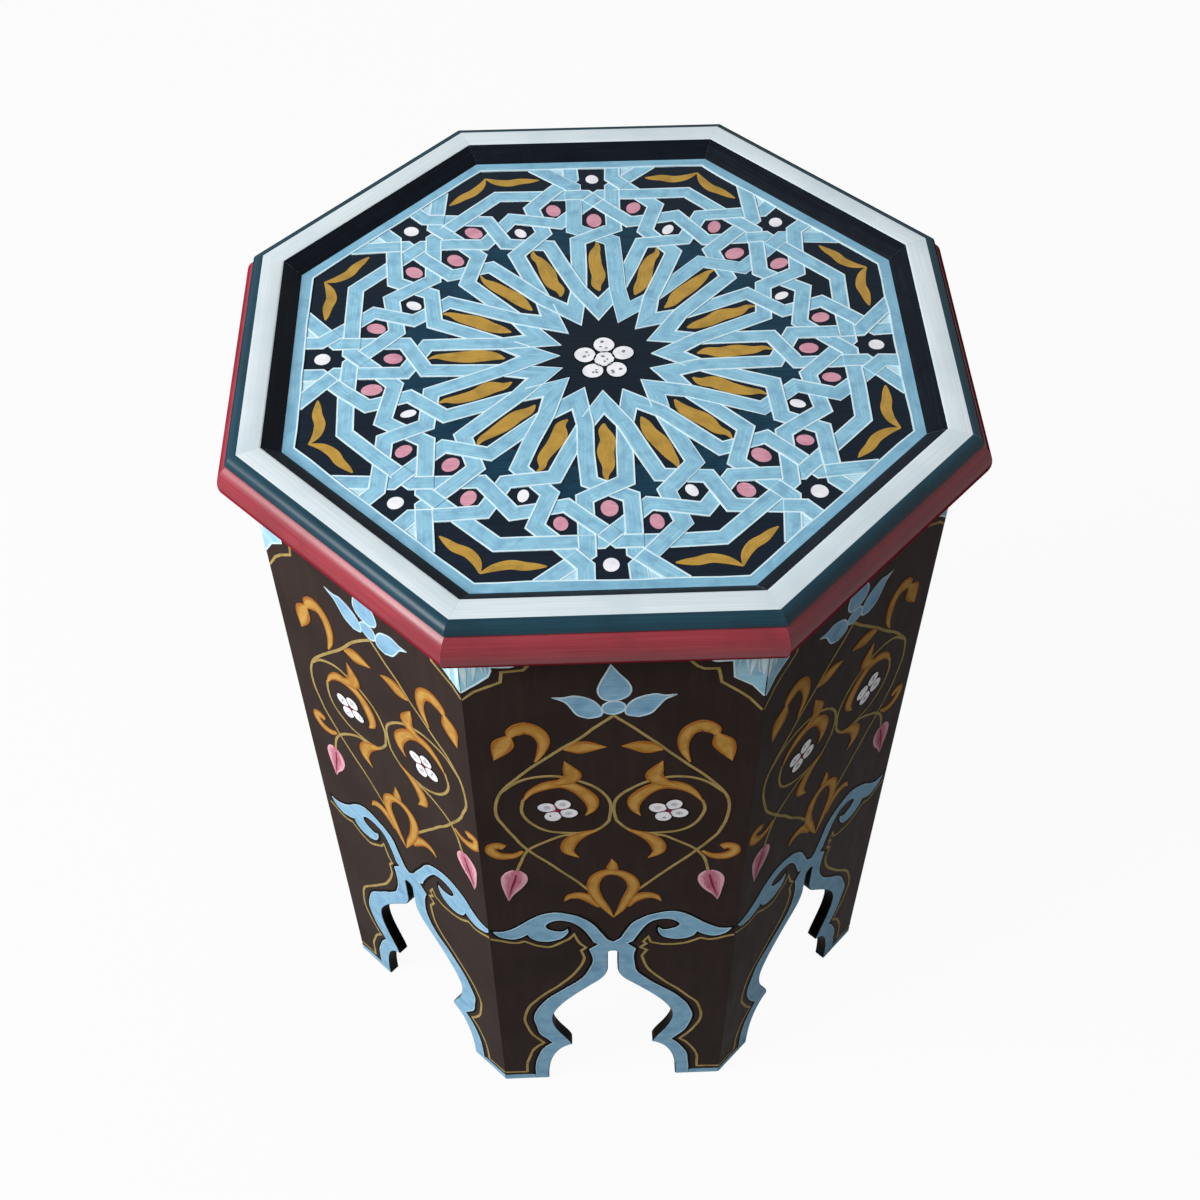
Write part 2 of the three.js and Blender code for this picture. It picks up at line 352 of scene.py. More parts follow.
def ellipse(x, y, wide, high, lean=0.0, steps=20):
    """An oval outline round a point, leaning by an angle in radians."""
    ring = []
    for i in range(steps):
        p = Vector((wide * math.cos(math.tau * i / steps), high * math.sin(math.tau * i / steps)))
        p.rotate(Matrix.Rotation(lean, 2))
        ring.append(Vector((x, y)) + p)
    return ring


def distances(line):
    """How far along the line each of its points lies."""
    run = [0.0]
    for start, end in zip(line, line[1:]):
        run.append(run[-1] + (end - start).length)
    return run


def for_each(point_value, line):
    """The values of the line's points, which may all share one."""
    return point_value if isinstance(point_value, list) else [point_value] * len(line)


def offset_line(line, offsets, closed=False):
    """The line moved sideways, to its left, with mitred corners."""
    count = len(line)
    moved = []
    for i, (point, offset) in enumerate(zip(line, for_each(offsets, line))):
        before = line[i - 1] if i or closed else point
        after = line[(i + 1) % count] if i < count - 1 or closed else point
        way_in = (point - before).normalized() if point != before else (after - point).normalized()
        way_out = (after - point).normalized() if point != after else way_in
        middle = (way_in + way_out).normalized()
        reach = min(1 / max(middle.dot(way_in), 0.1), 2.2)
        moved.append(point + Vector((-middle.y, middle.x)) * offset * reach)
    return moved


def held(value):
    """A share, held between none and all."""
    return min(max(value, 0), 1)


# %% [markdown]
# ## Pieces made in millimetres
# Each solid here is drawn flat on one face of the table, in millimetres, and then laid in place. Side 0 is the
# front. Planks and moulding both start as a filled outline that is pushed out into a solid.


# %% From a flat drawing to a piece
def on_side(side, distance):
    """From a side's own millimetres, x across and y up, to the table's metres."""
    angle = side * TURN - math.pi / 2
    out = Vector((math.cos(angle), math.sin(angle), 0))
    across = Vector((-math.sin(angle), math.cos(angle), 0))
    turned = Matrix((across, Vector((0, 0, 1)), out)).transposed().to_4x4()
    return Matrix.Translation(out * distance * MM) @ turned @ Matrix.Scale(MM, 4)


def new_corners(geometry):
    return [part for part in geometry if isinstance(part, bmesh.types.BMVert)]


def pushed_out(outline, push):
    """A filled outline made a solid: the mesh, its brush layer, the outline's edges and the far corners."""
    mesh = bmesh.new()
    brush = mesh.verts.layers.float_vector.new("brush")
    verts = [mesh.verts.new(place) for place in outline]
    edges = [mesh.edges.new(pair) for pair in zip(verts, verts[1:] + verts[:1])]
    face = bmesh.ops.contextual_create(mesh, geom=edges)["faces"]
    far = new_corners(bmesh.ops.extrude_face_region(mesh, geom=face, use_keep_orig=True)["geom"])
    bmesh.ops.translate(mesh, vec=push, verts=far)
    return mesh, brush, edges, far


def split_faces(mesh):
    """Splits the faces with more than four corners into triangles."""
    bmesh.ops.triangulate(mesh, faces=[f for f in mesh.faces if len(f.verts) > 4])


def made_of(mesh, name, coats):
    """A new object with the mesh and its coats."""
    data = bpy.data.meshes.new(name)
    mesh.to_mesh(data)
    mesh.free()
    for coat in coats:
        data.materials.append(coat)
    return linked(name, data)


def laid_piece(mesh, name, place, coats, replaced=None):
    """Lays the mesh on its face of the table and makes it a piece."""
    mesh.transform(place)
    made = made_of(mesh, name, coats)
    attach(made, "root")
    if replaced:
        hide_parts(replaced)
    print(name, "has", len(made.data.polygons), "faces")


# %% [markdown]
# ## Paint as a thin raised layer
# Paint could be an image, but then its edge is only as sharp as the image. Here each stroke is a shallow solid: a
# chain of edges is extruded sideways into a ribbon, and the ribbon is extruded down by a fraction of a
# millimetre. Later strokes lie a little higher, so what was painted last covers what was painted first.

# %% A coat of paint
UNDERSIDE = 0.01
LEAN_START, LEAN_RUN, LEAN_END, LEAN_FADE = 130, 130, 424, 50
DRIFT_START, DRIFT_RUN = 150, 60
STROKE_STEP, STROKE_LEVELS = 0.002, 40


class Paintwork:
    """A sheet of painted shapes that ends up as one piece. Points are in millimetres on the painted face."""

    def __init__(self, seed, sway, low, high, lean=0.0):
        self.mesh = bmesh.new()
        self.brush = self.mesh.verts.layers.float_vector.new("brush")
        self.coats = []
        self.seed, self.sway, self.lean = seed, sway, lean
        self.low, self.high = low, high
        self.drift = Vector((0, 0))
        self.strokes = 0

    def by_hand(self, point):
        """Where the hand really sets a point: swayed, and higher up the side also leaning and drifting."""
        x, y = point[0], point[1]
        push = noise.noise_vector(Vector((x * SWAY_PACE, y * SWAY_PACE, self.seed * SWAY_APART))) * self.sway
        moved = Vector((x + push.x, y + push.y))
        moved += self.drift * held((y - DRIFT_START) / DRIFT_RUN)
        moved.y -= self.lean * held((y - LEAN_START) / LEAN_RUN) * held((LEAN_END - y) / LEAN_FADE) * x
        return moved

    def kept_on(self, place):
        """The place, moved back onto the wood if the hand went over its edge."""
        return [min(max(at, low), high) for at, low, high in zip(place, self.low, self.high)]

    def next_stroke(self):
        """Each stroke lies two microns over the last, so no two faces share a plane, and has its own brush marks."""
        self.strokes += 1
        return STROKE_STEP * (self.strokes % STROKE_LEVELS), random.Random(self.strokes).uniform(0, 1)

    def thicken(self, faces, coat):
        """Makes the faces a solid that reaches down to the wood, painted with the coat."""
        if coat not in self.coats:
            self.coats.append(coat)
        for face in faces:
            face.material_index = self.coats.index(coat)
        for vert in new_corners(bmesh.ops.extrude_face_region(self.mesh, geom=faces, use_keep_orig=True)["geom"]):
            vert.co.z = UNDERSIDE

    def ribbon(self, left, right, heights, coat, closed=False):
        """Paint between two lines with as many points each."""
        step, start = self.next_stroke()
        chain = [self.mesh.verts.new((*self.kept_on(p), h + step)) for p, h in zip(left, for_each(heights, left))]
        ends = chain[1:] + chain[:1] if closed else chain[1:]
        edges = [self.mesh.edges.new(pair) for pair in zip(chain, ends)]
        made = bmesh.ops.extrude_edge_only(self.mesh, edges=edges)["geom"]
        fresh = set(new_corners(made))
        for vert, near, far, travelled in zip(chain, left, right, distances(left)):
            partner = next(e.other_vert(vert) for e in vert.link_edges if e.other_vert(vert) in fresh)
            partner.co.xy = self.kept_on(far)
            along = start + travelled * MM
            vert[self.brush] = (along, start, 0)
            partner[self.brush] = (along, start + (far - near).length * MM, MM)
        self.thicken([part for part in made if isinstance(part, bmesh.types.BMFace)], coat)

    def band(self, line, inner, outer, heights, coat, closed=False):
        """Paint along a line, between two distances to its left."""
        self.ribbon(offset_line(line, outer, closed), offset_line(line, inner, closed), heights, coat, closed)

    def stroke(self, points, lift, coat, half=None):
        """A round brush stroke. Each point has its half width as third number, unless all share one."""
        line = smooth([(*p, half) for p in points] if half else points)
        halves = [max(p.z, 0.05) for p in line]
        self.band([self.by_hand(p) for p in line], [-h for h in halves], halves, lift, coat)

    def outline(self, points, half, lift, coat, closed=True):
        """A line with sharp corners, or one painted round a shape."""
        self.band([self.by_hand(p) for p in points], -half, half, lift, coat, closed)

    def patch(self, ring, lift, coat, swayed=True):
        """A filled shape."""
        step, start = self.next_stroke()
        if swayed:
            ring = [self.by_hand(p) for p in ring]
        verts = [self.mesh.verts.new((*self.kept_on(p), lift + step)) for p in ring]
        for vert in verts:
            vert[self.brush] = (start + vert.co.x * MM, start + vert.co.y * MM, MM / 2)
        edges = [self.mesh.edges.new(pair) for pair in zip(verts, verts[1:] + verts[:1])]
        self.thicken(bmesh.ops.contextual_create(self.mesh, geom=edges)["faces"], coat)

    def piece(self, name, place):
        split_faces(self.mesh)
        bmesh.ops.recalc_face_normals(self.mesh, faces=self.mesh.faces)
        laid_piece(self.mesh, name, place, self.coats)


# %% [markdown]
# ## The arched panels
# Each side is one plank. The maker sawed the arch with a coping saw: feet, a pointed cusp, a round lobe, an ogee
# and a narrow slot on top. The outline is a few Bezier stretches. The face is extruded to the plank's thickness,
# its edges are mitred by moving the inner corners, and the arrises get a small bevel where sandpaper broke them.

# %% The arch
ARCH_FOOT, ARCH_CUSP, ARCH_LOBE, ARCH_SHOULDER, ARCH_SLOT = 42.5, 26.0, 37.8, 10.5, 2.9
CUSP_Z, LOBE_Z, SHOULDER_Z, SLOT_Z, ARCH_Z = 52.0, 92.0, 140.5, 158.0, 181.8
# How far each curve's handles reach between its two ends
FOOT_RISE, CUSP_LEAN, CUSP_RISE, LOBE_RISE, CROWN_RISE = 0.86, 0.17, 0.28, 0.45, 0.3
CROWN_LEAN, SHOULDER_RISE, NECK_LEAN, NECK_RISE = 0.5, 0.34, 0.09, 0.46
ARCH_STEPS, SLOT_STEPS = 14, 8


def arch_half():
    """The right half of the arch, from the foot up to the middle of the slot."""
    foot, cusp, lobe = Vector((ARCH_FOOT, 0)), Vector((ARCH_CUSP, CUSP_Z)), Vector((ARCH_LOBE, LOBE_Z))
    shoulder, slot = Vector((ARCH_SHOULDER, SHOULDER_Z)), Vector((ARCH_SLOT, SLOT_Z))
    rise, crown = Vector((0, LOBE_Z - CUSP_Z)), Vector((0, SHOULDER_Z - LOBE_Z))
    bend = Vector((ARCH_FOOT, CUSP_Z * FOOT_RISE))
    lean = cusp + Vector(((ARCH_LOBE - ARCH_CUSP) * CUSP_LEAN, (LOBE_Z - CUSP_Z) * CUSP_RISE))
    ease = shoulder + Vector(((ARCH_LOBE - ARCH_SHOULDER) * CROWN_LEAN, -crown.y * SHOULDER_RISE))
    neck = slot.lerp(shoulder, NECK_LEAN)
    neck.y = SHOULDER_Z + (SLOT_Z - SHOULDER_Z) * NECK_RISE
    line = []
    for curve in (
        (foot, foot.lerp(bend, 2 / 3), cusp.lerp(bend, 2 / 3), cusp),
        (cusp, lean, lobe - rise * LOBE_RISE, lobe),
        (lobe, lobe + crown * CROWN_RISE, ease, shoulder),
        (shoulder, shoulder.lerp(neck, 2 / 3), slot.lerp(neck, 2 / 3), slot),
    ):
        line += interpolate_bezier(*curve, ARCH_STEPS)[:-1]
    line.append(slot)
    top = Vector((0, ARCH_Z - ARCH_SLOT))
    return line + [top + polar(ARCH_SLOT, math.pi / 2 * step / SLOT_STEPS) for step in range(SLOT_STEPS + 1)]


def side_panel(side):
    """One plank with its arch, mitred edges and broken arrises."""
    right = arch_half()
    half = PANEL_HALF - 0.05
    board = [Vector((-half, 0)), Vector((-half, PANEL_TOP)), Vector((half, PANEL_TOP)), Vector((half, 0))]
    outline = board + right + [Vector((-p.x, p.y)) for p in reversed(right[:-1])]
    mesh, brush, _, back = pushed_out([(p.x, p.y, 0) for p in outline], (0, 0, -PLANK))
    for vert in back:
        if abs(vert.co.x) > half - 1:
            vert.co.x -= math.copysign(PLANK * math.tan(TURN / 2), vert.co.x)
    bmesh.ops.recalc_face_normals(mesh, faces=mesh.faces)
    arrises = [e for e in mesh.edges if len(e.link_faces) == 2 and e.calc_face_angle() > math.radians(30)]
    arrises = [e for e in arrises if min(abs(vert.co.x) for vert in e.verts) < half - 0.1]
    bmesh.ops.bevel(
        mesh, geom=arrises, offset=0.5, segments=2, profile=0.5, affect="EDGES", material=-1, clamp_overlap=True
    )
    for vert in mesh.verts:
        vert[brush] = (side * 0.37 + vert.co.y * MM, vert.co.x * MM, vert.co.z * MM)
    for part in mesh.faces:
        part.material_index = 0 if part.normal.z > 0.7 else 1 if part.normal.z < -0.7 else 2
    split_faces(mesh)
    coats = (ground_enamel, plank_wood, shade_enamel)
    laid_piece(mesh, f"painted_panel_{side + 1}", on_side(side, FACE), coats, f"side_panel_{side + 1}")


for side in range(SIDES):
    side_panel(side)

# %% [markdown]
# ## The rim
# The rim is a moulding planed in one length and mitred at the corners: a slope down to the board, a pale flat, a
# small teal quarter round and a fat red half round. Here its section is drawn once and extruded, and the ends
# are moved onto the mitres. Each colour stops at an edge of the section, as the maker's brush did, except on the
# red bead: its lower part is painted shade, a red a little darker than the rest and without shine.

# %% Section of the rim moulding
GAP = 0.3
LIP_NOSE = 0.5
OVOLO_DROP, OVOLO_WIDE = 5.0, 6.0
FLAT_WIDE = 10.8
FLAT_OUTER = FACE + 3.2
FLAT_INNER = FLAT_OUTER - FLAT_WIDE
SEAT_INNER = FACE - 3.6
BEAD_WIDE = 9.0
BEAD_HIGH = (RIM_TOP - OVOLO_DROP - RIM_BOTTOM) / 2
SOFT = 0.5
LENGTH_CUTS = 24
MITRE_GAP = 0.02
RIM_COATS = {"white": rim_white_enamel, "dark": rim_dark_enamel, "teal": rim_teal_enamel, "red": rim_red_enamel}
# The bead's lower part takes the darker red without shine: painted shade under the bead
RIM_COATS["under"] = rim_red_shaded_under_enamel


def quarter(x, z, wide, high, start, end, steps):
    """Points of an elliptic arc between two angles in degrees."""
    angles = [math.radians(start + (end - start) * i / steps) for i in range(steps + 1)]
    return [(x + wide * math.cos(a), z + high * math.sin(a)) for a in angles]


def rim_section():
    """The section's points, and the colour of the face that starts at each."""
    middle = RIM_BOTTOM + BEAD_HIGH
    under = BOARD_TOP + GAP
    points = [(SEAT_INNER, PANEL_TOP + GAP, "dark"), (FACE + GAP, PANEL_TOP + GAP, "dark")]
    points += [(FACE + GAP, RIM_BOTTOM, "under")]
    # Below a little past the bead's middle the red is painted shade: a little darker, and without shine
    for x, z in quarter(RIM_OUTER - BEAD_WIDE, middle, BEAD_WIDE, BEAD_HIGH, -90, 76, 18):
        points.append((x, z, "under" if z < RIM_BOTTOM + BEAD_HIGH * 0.55 else "red"))
    ovolo_foot = RIM_TOP - OVOLO_DROP + 0.1
    for x, z in quarter(FLAT_OUTER, ovolo_foot, OVOLO_WIDE, OVOLO_DROP - 0.1, 0, 84, 8):
        points.append((x, z, "teal"))
    points += [(FLAT_OUTER, RIM_TOP, "white"), (FLAT_INNER + SOFT, RIM_TOP, "white")]
    points += [(FLAT_INNER - SOFT, RIM_TOP - SOFT * 0.6, "dark"), (RIM_INNER, under + LIP_NOSE, "dark")]
    points += [(RIM_INNER, under, "dark"), (SEAT_INNER, under, "dark")]
    return [Vector((x, z)) for x, z, _ in points], [colour for _, _, colour in points]


def rim_moulding(side):
    """One mitred length of the rim."""
    section, colours = rim_section()
    mesh, brush, edges, _ = pushed_out([(-1, p.y, p.x - FACE) for p in section], (2, 0, 0))
    for edge, colour in zip(edges, colours):
        for face in edge.link_faces:
            if len(face.verts) == 4:
                face.material_index = list(RIM_COATS).index(colour)
    lengths = [e for e in mesh.edges if abs(e.verts[0].co.x - e.verts[1].co.x) > 1]
    bmesh.ops.subdivide_edges(mesh, edges=lengths, cuts=LENGTH_CUTS, use_grid_fill=False)
    round_section = {(round(p.y, 4), round(p.x - FACE, 4)): run for p, run in zip(section, distances(section))}
    for vert in mesh.verts:
        share = vert.co.x
        reach = (vert.co.z + FACE) * math.tan(TURN / 2) - MITRE_GAP
        travelled = round_section.get((round(vert.co.y, 4), round(vert.co.z, 4)), 0.0)
        vert[brush] = (side * 0.41 + share * reach * MM, travelled * MM, 0)
        vert.co.x = share * reach
    bmesh.ops.recalc_face_normals(mesh, faces=mesh.faces)
    split_faces(mesh)
    for face in mesh.faces:
        face.smooth = abs(face.normal.x) < 0.3
    for edge in mesh.edges:
        edge.smooth = len(edge.link_faces) == 2 and edge.calc_face_angle() < math.radians(24)
    name, replaced = f"painted_rim_{side + 1}", f"rim_moulding_{side + 1}"
    laid_piece(mesh, name, on_side(side, FACE), RIM_COATS.values(), replaced)


for side in range(SIDES):
    rim_moulding(side)

# %% [markdown]
# ## Strapwork on the board
# The star pattern is drawn with three families of straps. Two of them start in a V at the middle star and run out
# between the petals to the border. The third closes on itself as a ring with eight corners. Each strap is a few
# places on one side of its axis, mirrored and turned round the board.

# %% The straps' courses, in millimetres on the board, for the axis of a mid side along +X
STRAP, STRAP_LINE = 4.0, 0.4
FIRST_STRAP = [(33.3, 13.8), (50, 9.95), (88.5, 9.2), (99.5, -11), (134, -11), (153.2, -33)]
SECOND_STRAP = [(33.3, -13.8), (50, -9.95), (88.5, -9.2), (99.5, 11), (121.1, 13), (136.2, 43.5), (146, 47.4)]
RING_STRAP = [(108.3, 44.9), (104, 19.5), (127.5, -4), (127.5, -52.8)]
LONG_RUN = 30
STAR_SLIP, SLIP_REACH = Vector((0.4, -3.0)), 140
STAR_CLEAR, STAR_REACH = 16, 47
STAR_PULL, STAR_PULL_ACROSS, STAR_PULL_LEFT = 3.0, 2.8, 2.4
board_sheet = Paintwork(seed=3, sway=0.9, low=(-170, -170), high=(170, 170))


def turned_to(points, angle, flip=False):
    """Points turned about the board's middle, and first mirrored in the +X axis if flip."""
    turn = Matrix.Rotation(angle, 2)
    return [turn @ Vector((x, -y if flip else y)) for x, y in points]


def slipped(point):
    """The painter set the middle star a little off centre; the shift fades out towards the border."""
    return point + STAR_SLIP * max(0.0, 1 - point.length / SLIP_REACH)


def pulled_in(place):
    """The middle star came out smaller than the straps make it, most of all on its left; the petals didn't."""
    out = place - STAR_SLIP
    share = held((out.length - STAR_CLEAR) / (STAR_REACH - STAR_CLEAR))
    aside = out.x / max(out.length, 1)
    pull = STAR_PULL + STAR_PULL_ACROSS * aside * aside - STAR_PULL_LEFT * aside
    return place - out.normalized() * pull * (0.5 - 0.5 * math.cos(math.tau * share))


def strap_courses():
    """Every strap as a list of corners, and whether it closes."""
    courses = []
    for k in range(SIDES):
        for points, ahead, behind in ((FIRST_STRAP, 0, TURN), (SECOND_STRAP, TURN / 2, -TURN / 2)):
            there = turned_to(points, k * TURN + ahead)
            back = turned_to(points, k * TURN + behind, flip=True)
            courses.append((back[::-1] + there[1:], False))
    for ring in range(2):
        course = []
        for quarter_turn in range(4):
            axis = ring * TURN - quarter_turn * 2 * TURN
            course += turned_to(RING_STRAP[:-1], axis)
            course += turned_to(RING_STRAP, axis - TURN, flip=True)[:0:-1]
        courses.append((course, True))
    return courses


def drawn(course, closed):
    """The course as the hand set it: its corners and a place halfway along each long run, all a little off."""
    corners = course + course[:1] if closed else course
    line = []
    for start, end in zip(corners, corners[1:]):
        line.append(start)
        if (end - start).length > LONG_RUN:
            line.append(start.lerp(end, 0.5))
    return [board_sheet.by_hand(slipped(p)) for p in line + corners[-1:]]


strap_lines = [(drawn(course, closed), closed) for course, closed in strap_courses()]
print(len(strap_lines), "straps")

# %% [markdown]
# ## Over and under
# Straps weave: along each one, crossings go over and under in turn. The crossings are found where two lines
# meet. Starting from one strap, the turns are handed on from crossing to crossing. A strap then rises by a quarter
# of a millimetre where it goes over, so the weave is real in the shape and not a trick of the colour.

# %% Crossings
STRAP_EDGE = STRAP + STRAP_LINE
SHARPEST = 0.35


def crossings(lines):
    """For each crossing, one line and how far along it, the other and how far along, and the overlap's half length."""
    found = []
    runs = [distances(line) for line in lines]
    for a, b in itertools.combinations(range(len(lines)), 2):
        for i, (p, q) in enumerate(zip(lines[a], lines[a][1:])):
            for j, (r, s) in enumerate(zip(lines[b], lines[b][1:])):
                meet = intersect_line_line_2d(p, q, r, s)
                if meet is None:
                    continue
                along = runs[a][i] + (meet - p).length
                if any(f[0] == a and f[2] == b and abs(f[1] - along) < 1 for f in found):
                    continue
                angle = (q - p).angle(s - r)
                reach = STRAP_EDGE * (1 + abs(math.cos(angle))) / max(math.sin(angle), SHARPEST)
                found.append((a, along, b, runs[b][j] + (meet - r).length, reach))
    return found


def weave(found):
    """Which of the two lines is on top at each crossing, over and under in turn along every line."""
    visits = {}
    for number, (a, at_a, b, at_b, _) in enumerate(found):
        visits.setdefault(a, []).append((at_a, number))
        visits.setdefault(b, []).append((at_b, number))
    order = {line: [number for _, number in sorted(stops)] for line, stops in visits.items()}
    top = {}
    for first_line in order:
        waiting = [] if any(number in top for number in order[first_line]) else [(first_line, 0, True)]
        while waiting:
            line, place, over = waiting.pop()
            for step, number in enumerate(order[line]):
                if number in top:
                    continue
                wins = over if (step - place) % 2 == 0 else not over
                other = found[number][2] if found[number][0] == line else found[number][0]
                top[number] = line if wins else other
                waiting.append((other, order[other].index(number), not wins))
    return top


strap_meets = crossings([line for line, _ in strap_lines])
strap_tops = weave(strap_meets)
print(len(strap_meets), "crossings")

# %% [markdown]
# ## How high a strap lies
# Along one strap the heights are flat at every crossing and change between them. A break in the height may not
# fall inside the mitre of a corner, where the two edges of the band would cross each other, so there the corner
# itself takes the height.

# %% Heights along a strap
UNDER, OVER, LINE_RISE = 0.2, 0.46, 0.07
NUDGE = 0.1
WIDEST_TURN, CORNER_SPARE = 2.4, 0.4


def height_breaks(strap, length, closed):
    """Distances along a strap, with its height, where a flat stretch starts or ends."""
    spots = []
    for number, (a, at_a, b, at_b, reach) in enumerate(strap_meets):
        if strap in (a, b):
            height = OVER if strap_tops[number] == strap else UNDER
            spots.append((at_a if strap == a else at_b, reach, height))
    if closed:
        spots += [(at + turn * length, reach, height) for at, reach, height in spots for turn in (-1, 1)]
    breaks = []
    for at, reach, height in sorted(spots):
        start = at - reach
        if breaks and breaks[-1][0] > start:
            middle = (breaks[-1][0] + start) / 2
            breaks[-1] = (middle - NUDGE, breaks[-1][1])
            start = middle + NUDGE
        breaks += [(start, height), (at + reach, height)]
    return breaks


def height_at(breaks, along):
    if along <= breaks[0][0]:
        return breaks[0][1]
    for (start, low), (end, high) in zip(breaks, breaks[1:]):
        if along <= end:
            return low + (high - low) * (along - start) / max(end - start, 0.01)
    return breaks[-1][1]


def woven(strap, line, closed):
    """The strap's points and its height at each."""
    run = distances(line)
    breaks = height_breaks(strap, run[-1], closed)
    clear = []
    for i, point in enumerate(line):
        before = line[i - 1] if i else line[-2]
        after = line[i + 1] if i < len(line) - 1 else line[1]
        turn = (point - before).angle(after - point) if closed or 0 < i < len(line) - 1 else 0
        clear.append(STRAP_EDGE * math.tan(min(turn, WIDEST_TURN) / 2) + CORNER_SPARE)
    places = [(along, point, height_at(breaks, along)) for along, point in zip(run, line)]
    for along, height in breaks:
        if not 0 < along < run[-1]:
            continue
        i = max(n for n in range(len(run) - 1) if run[n] <= along)
        if along - run[i] < clear[i]:
            places[i] = (run[i], line[i], height)
        elif run[i + 1] - along < clear[i + 1]:
            places[i + 1] = (run[i + 1], line[i + 1], height)
        else:
            share = (along - run[i]) / (run[i + 1] - run[i])
            places.append((along, line[i].lerp(line[i + 1], share), height))
    places.sort(key=lambda place: place[0])
    if closed:
        places.pop()
    return [point for _, point, _ in places], [height for _, _, height in places]


# %% [markdown]
# ## Painting the board
# Each strap is a blue band with a pale line along both edges. The cells between are dark ground, with teal in the
# small stars and a pale blue where straps crowd at each mid side.

# %% The ground shapes, the straps and the border band
BORDER_IN, BORDER_OUT, BORDER_LIFT = 151.0, RIM_INNER, 0.62
TEAL_STAR_R, TEAL_STAR = 90.5, 11.0
GROUND_LIFT, MOTIF_LIFT = 0.06, 0.1
WEDGE = [(140, 14), (151.5, 8), (151.5, 31), (148, 27)]


def octagon(apothem, steps=10):
    """A line round an octagon, with points along its sides."""
    corners = [polar(apothem / math.cos(TURN / 2), TURN * (k + 0.5)) for k in range(SIDES)]
    line = []
    for start, end in zip(corners, corners[1:] + corners[:1]):
        line += [start.lerp(end, i / steps) for i in range(steps)]
    return line


def paint_cells(sheet):
    for k in range(2 * SIDES):
        star = polar(TEAL_STAR_R, (k + 0.5) * TURN / 2)
        sheet.patch([slipped(p) for p in ellipse(*star, TEAL_STAR, TEAL_STAR, steps=14)], GROUND_LIFT, teal_enamel)
    for k in range(SIDES):
        for side in (1, -1):
            wedge = [(x, side * y) for x, y in WEDGE]
            sheet.patch(turned_to(wedge, k * TURN), GROUND_LIFT, wedge_enamel)


def paint_straps(sheet):
    for strap, (line, closed) in enumerate(strap_lines):
        points, heights = woven(strap, line, closed)
        sheet.band(points, -STRAP, STRAP, heights, blue_enamel, closed)
        for edge in (STRAP, -STRAP):
            raised = [h + LINE_RISE for h in heights]
            sheet.band(points, edge - STRAP_LINE, edge + STRAP_LINE, raised, pale_enamel, closed)
    for vert in sheet.mesh.verts:
        vert.co.xy = pulled_in(vert.co.xy)


def paint_border(sheet):
    inner = [sheet.by_hand(p) for p in octagon(BORDER_IN)]
    sheet.ribbon(inner, octagon(BORDER_OUT), BORDER_LIFT, border_enamel, closed=True)
    sheet.band(inner, -STRAP_LINE, STRAP_LINE, BORDER_LIFT + LINE_RISE, pale_enamel, closed=True)


paint_cells(board_sheet)
paint_straps(board_sheet)
paint_border(board_sheet)

# %% [markdown]
# ## Small motifs on the board
# In the cells sit an ochre leaf in each petal, rose and white dots in the hexagons, a pair of gold wings in
# each corner, and a flower of white dots in the middle star.

# %% Leaves, dots, wings and the middle flower
PETAL_LEAF = [(49, -0.6, 0.5), (54, 0.8, 2.6), (61, 0.9, 4), (69, -0.4, 3.9), (78, 0.5, 2.9), (84, 1, 1.6)]
PETAL_LEAF += [(88.5, 0.6, 0.3)]
CORNER_WING = [(156.4, 0, 0.4), (151, -4.4, 2.2), (147, -10.6, 2.8), (145.8, -17, 2.6), (143.7, -22.6, 1.7)]
CORNER_WING += [(142.4, -26.6, 0.4)]
# How many turns past a mid side, how far out, half width, half height and coat
CELL_DOTS = [
    (0.0, 106.0, 5.3, 4.0, pink_enamel),
    (0.0, 141.5, 4.2, 4.0, white_enamel),
    (0.5, 104.5, 4.2, 2.8, white_enamel),
    (0.245, 117.5, 5.0, 3.8, pink_enamel),
    (-0.245, 117.5, 5.0, 3.8, pink_enamel),
]
FLOWER_RING, FLOWER_DOT = 10.3, 5.5
FLOWER_TURNS = (90, 160, 22, 234, 306)
FLOWER_SHIFT = Vector((1.5, -2.2))


def paint_turned(sheet, points, angle):
    """A gold stroke turned about the board's middle."""
    places = [slipped(place) for place in turned_to([point[:2] for point in points], angle)]
    sheet.stroke([(*place, half) for place, (_, _, half) in zip(places, points)], MOTIF_LIFT, gold_enamel)


def paint_flower_dot(sheet, place, hand):
    """A white dot of the middle flower, with a thin dark outline and a scribble of grey."""
    sheet.patch(ellipse(*place, FLOWER_DOT, FLOWER_DOT * hand.uniform(0.92, 1.02)), MOTIF_LIFT, white_enamel)
    sheet.outline(ellipse(*place, FLOWER_DOT, FLOWER_DOT), 0.22, 0.2, shade_enamel)
    for _ in range(3):
        spot = place + Vector((hand.uniform(-2.4, 2.4), hand.uniform(-2.4, 2.4)))
        size = hand.uniform(0.5, 1.1)
        sheet.patch(ellipse(*spot, size, size * 0.7, hand.uniform(0, 3), steps=8), 0.2, grey_enamel)


def paint_board_motifs(sheet):
    hand = random.Random(11)
    for k in range(2 * SIDES):
        leaf = [(x, y * hand.choice((-1, 1)), h * hand.uniform(0.9, 1.1)) for x, y, h in PETAL_LEAF]
        paint_turned(sheet, leaf, k * TURN / 2)
    for k in range(SIDES):
        for turn_share, radius, wide, high, coat in CELL_DOTS:
            angle = (k + turn_share) * TURN
            lean = angle + hand.uniform(-0.25, 0.25)
            size = hand.uniform(0.9, 1.06)
            dot = ellipse(*slipped(polar(radius, angle)), wide * size, high * size, lean)
            sheet.patch(dot, MOTIF_LIFT, coat)
        for flip in (1, -1):
            wing = [(x, y * flip, half) for x, y, half in CORNER_WING]
            paint_turned(sheet, wing, (k + 0.5) * TURN)
    for angle in FLOWER_TURNS:
        paint_flower_dot(sheet, slipped(polar(FLOWER_RING, math.radians(angle))) + FLOWER_SHIFT, hand)
    paint_flower_dot(sheet, STAR_SLIP + FLOWER_SHIFT, hand)


